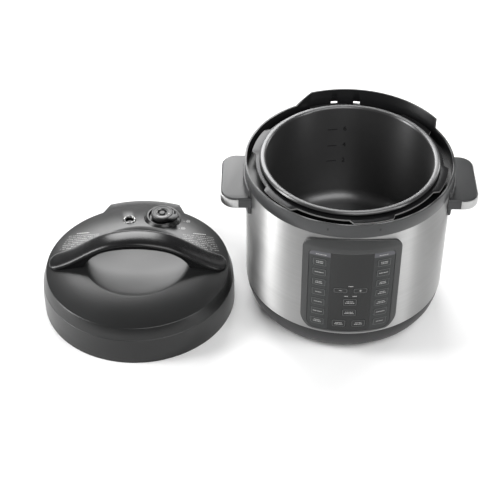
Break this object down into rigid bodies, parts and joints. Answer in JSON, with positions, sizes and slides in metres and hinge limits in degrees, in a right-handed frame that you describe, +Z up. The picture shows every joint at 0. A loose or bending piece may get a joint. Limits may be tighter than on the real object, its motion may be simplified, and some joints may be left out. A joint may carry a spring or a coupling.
{
  "type": "electric pressure cooker",
  "caption": "Round electric pressure cooker standing open, with its lift-out pot, key panel, side handles and an arched-handle bayonet lid lying beside it.",
  "frame": {"origin": "on the cooker's axis at table height, just under the middle of its base", "axes": "+Z up, -Y out of the control panel, +X to the right of a person facing the panel"},
  "size_m": [0.5936, 0.3185, 0.248],
  "materials": {
    "black_plastic": "fine moulded grain",
    "charcoal_plastic": "satin moulded plastic",
    "gloss_black": "polished black plastic",
    "brushed_steel": "brushed round the body",
    "dark_flange": "blackened steel with bright cut edges",
    "nonstick": "grey non-stick coating",
    "aluminium": "cast, machined on top",
    "silicone": "translucent white silicone",
    "foot_rubber": "matt black rubber",
    "clear_plastic": "clear moulded plastic",
    "circuit_board": "green solder mask"
  },
  "bodies": {
    "root": {"base_cover": "black_plastic", "foot_1": "foot_rubber", "foot_2": "foot_rubber", "foot_3": "foot_rubber", "foot_4": "foot_rubber", "outer_shell": "brushed_steel", "top_ring": "charcoal_plastic", "cooking_chamber": "dark_flange", "heating_plate": "aluminium", "sensor_spring": "brushed_steel", "sensor_holder": "brushed_steel", "thermal_cutout": "gloss_black", "pressure_switch": "black_plastic", "power_board": "circuit_board", "panel_frame": "charcoal_plastic", "panel_overlay": "gloss_black", "display_module": "gloss_black", "control_board": "circuit_board", "power_inlet": "black_plastic", "handle_right": "charcoal_plastic", "handle_band_right": "brushed_steel", "handle_left": "charcoal_plastic", "handle_band_left": "brushed_steel", "collector_bracket": "black_plastic"},
    "inner_pot": {"inner_pot": "nonstick"},
    "temperature_sensor": {"temperature_sensor": "aluminium"},
    "condensation_cup": {"condensation_cup": "clear_plastic"},
    "lid_arm": {"relief_ball": "brushed_steel"},
    "lid_level_frame": {"sealing_ring": "silicone"},
    "lid_yaw_frame": {"seal_rack": "brushed_steel"},
    "lid": {"lid_cover": "charcoal_plastic", "lid_handle": "gloss_black", "steel_lid": "brushed_steel", "valve_collar": "gloss_black", "valve_stem": "brushed_steel", "valve_screen": "brushed_steel", "float_bezel": "brushed_steel", "relief_housing": "brushed_steel"},
    "valve_knob": {"valve_knob": "gloss_black"},
    "float_pin": {"float_pin": "brushed_steel"},
    "key_left_1": {"key_left_1": "gloss_black"},
    "key_right_1": {"key_right_1": "gloss_black"},
    "key_left_2": {"key_left_2": "gloss_black"},
    "key_right_2": {"key_right_2": "gloss_black"},
    "key_left_3": {"key_left_3": "gloss_black"},
    "key_right_3": {"key_right_3": "gloss_black"},
    "key_left_4": {"key_left_4": "gloss_black"},
    "key_right_4": {"key_right_4": "gloss_black"},
    "key_left_5": {"key_left_5": "gloss_black"},
    "key_right_5": {"key_right_5": "gloss_black"},
    "key_left_6": {"key_left_6": "gloss_black"},
    "key_right_6": {"key_right_6": "gloss_black"},
    "key_left_7": {"key_left_7": "gloss_black"},
    "key_right_7": {"key_right_7": "gloss_black"},
    "key_minus": {"key_minus": "gloss_black"},
    "key_plus": {"key_plus": "gloss_black"},
    "key_centre_1": {"key_centre_1": "gloss_black"},
    "key_centre_2": {"key_centre_2": "gloss_black"},
    "key_bottom_1": {"key_bottom_1": "gloss_black"},
    "key_bottom_2": {"key_bottom_2": "gloss_black"}
  },
  "joints": [
    {"name": "lid_carry", "type": "hinge", "parent": "root", "child": "lid_arm", "pos_m": [-0.22687, -0.01575, 0.2652], "axis": [0.0693, -0.9976, 0], "range_deg": [-254.37, 0]},
    {"name": "lid_level", "type": "hinge", "parent": "lid_arm", "child": "lid_level_frame", "pos_m": [-0.288, -0.02, 0.0462], "axis": [0.0693, -0.9976, 0], "range_deg": [0, 254.47]},
    {"name": "lid_line_up", "type": "hinge", "parent": "lid_level_frame", "child": "lid_yaw_frame", "pos_m": [-0.288, -0.02, 0], "axis": [0, 0, 1], "range_deg": [-27.6, 0]},
    {"name": "lid_turn", "type": "hinge", "parent": "lid_yaw_frame", "child": "lid", "pos_m": [-0.288, -0.02, 0], "axis": [0, 0, -1], "range_deg": [-27.5, 0]},
    {"name": "exhaust_valve_turn", "type": "hinge", "parent": "lid", "child": "valve_knob", "pos_m": [-0.2595, 0.075, 0.07], "axis": [0, 0, 1], "range_deg": [-15, 20]},
    {"name": "float_valve_rise", "type": "slide", "parent": "lid", "child": "float_pin", "axis": [0, 0, 1], "range_m": [0, 0.005]},
    {"name": "inner_pot_lift", "type": "slide", "parent": "root", "child": "inner_pot", "axis": [0, 0, 1], "range_m": [0, 0.17]},
    {"name": "collector_pull", "type": "slide", "parent": "root", "child": "condensation_cup", "axis": [0, 1, 0], "range_m": [0, 0.03]},
    {"name": "sensor_press", "type": "slide", "parent": "root", "child": "temperature_sensor", "axis": [0, 0, -1], "range_m": [0, 0.0015], "stiffness_N_per_m": 500, "springref_m": -0.002},
    {"name": "press_key_left_1", "type": "slide", "parent": "root", "child": "key_left_1", "axis": [0.289, 0.9573, 0], "range_m": [0, 0.0004], "stiffness_N_per_m": 800, "springref_m": -0.001},
    {"name": "press_key_right_1", "type": "slide", "parent": "root", "child": "key_right_1", "axis": [-0.289, 0.9573, 0], "range_m": [0, 0.0004], "stiffness_N_per_m": 800, "springref_m": -0.001},
    {"name": "press_key_left_2", "type": "slide", "parent": "root", "child": "key_left_2", "axis": [0.289, 0.9573, 0], "range_m": [0, 0.0004], "stiffness_N_per_m": 800, "springref_m": -0.001},
    {"name": "press_key_right_2", "type": "slide", "parent": "root", "child": "key_right_2", "axis": [-0.289, 0.9573, 0], "range_m": [0, 0.0004], "stiffness_N_per_m": 800, "springref_m": -0.001},
    {"name": "press_key_left_3", "type": "slide", "parent": "root", "child": "key_left_3", "axis": [0.289, 0.9573, 0], "range_m": [0, 0.0004], "stiffness_N_per_m": 800, "springref_m": -0.001},
    {"name": "press_key_right_3", "type": "slide", "parent": "root", "child": "key_right_3", "axis": [-0.289, 0.9573, 0], "range_m": [0, 0.0004], "stiffness_N_per_m": 800, "springref_m": -0.001},
    {"name": "press_key_left_4", "type": "slide", "parent": "root", "child": "key_left_4", "axis": [0.289, 0.9573, 0], "range_m": [0, 0.0004], "stiffness_N_per_m": 800, "springref_m": -0.001},
    {"name": "press_key_right_4", "type": "slide", "parent": "root", "child": "key_right_4", "axis": [-0.289, 0.9573, 0], "range_m": [0, 0.0004], "stiffness_N_per_m": 800, "springref_m": -0.001},
    {"name": "press_key_left_5", "type": "slide", "parent": "root", "child": "key_left_5", "axis": [0.289, 0.9573, 0], "range_m": [0, 0.0004], "stiffness_N_per_m": 800, "springref_m": -0.001},
    {"name": "press_key_right_5", "type": "slide", "parent": "root", "child": "key_right_5", "axis": [-0.289, 0.9573, 0], "range_m": [0, 0.0004], "stiffness_N_per_m": 800, "springref_m": -0.001},
    {"name": "press_key_left_6", "type": "slide", "parent": "root", "child": "key_left_6", "axis": [0.289, 0.9573, 0], "range_m": [0, 0.0004], "stiffness_N_per_m": 800, "springref_m": -0.001},
    {"name": "press_key_right_6", "type": "slide", "parent": "root", "child": "key_right_6", "axis": [-0.289, 0.9573, 0], "range_m": [0, 0.0004], "stiffness_N_per_m": 800, "springref_m": -0.001},
    {"name": "press_key_left_7", "type": "slide", "parent": "root", "child": "key_left_7", "axis": [0.289, 0.9573, 0], "range_m": [0, 0.0004], "stiffness_N_per_m": 800, "springref_m": -0.001},
    {"name": "press_key_right_7", "type": "slide", "parent": "root", "child": "key_right_7", "axis": [-0.289, 0.9573, 0], "range_m": [0, 0.0004], "stiffness_N_per_m": 800, "springref_m": -0.001},
    {"name": "press_key_minus", "type": "slide", "parent": "root", "child": "key_minus", "axis": [0.0906, 0.9959, 0], "range_m": [0, 0.0004], "stiffness_N_per_m": 800, "springref_m": -0.001},
    {"name": "press_key_plus", "type": "slide", "parent": "root", "child": "key_plus", "axis": [-0.0906, 0.9959, 0], "range_m": [0, 0.0004], "stiffness_N_per_m": 800, "springref_m": -0.001},
    {"name": "press_key_centre_1", "type": "slide", "parent": "root", "child": "key_centre_1", "axis": [0, 1, 0], "range_m": [0, 0.0004], "stiffness_N_per_m": 800, "springref_m": -0.001},
    {"name": "press_key_centre_2", "type": "slide", "parent": "root", "child": "key_centre_2", "axis": [0, 1, 0], "range_m": [0, 0.0004], "stiffness_N_per_m": 800, "springref_m": -0.001},
    {"name": "press_key_bottom_1", "type": "slide", "parent": "root", "child": "key_bottom_1", "axis": [0.0906, 0.9959, 0], "range_m": [0, 0.0004], "stiffness_N_per_m": 800, "springref_m": -0.001},
    {"name": "press_key_bottom_2", "type": "slide", "parent": "root", "child": "key_bottom_2", "axis": [-0.0906, 0.9959, 0], "range_m": [0, 0.0004], "stiffness_N_per_m": 800, "springref_m": -0.001}
  ],
  "couplings": [
    {"joint": "lid_level", "follows": "lid_carry", "ratio": -1},
    {"joint": "lid_line_up", "follows": "lid_carry", "ratio": 0.10811}
  ]
}
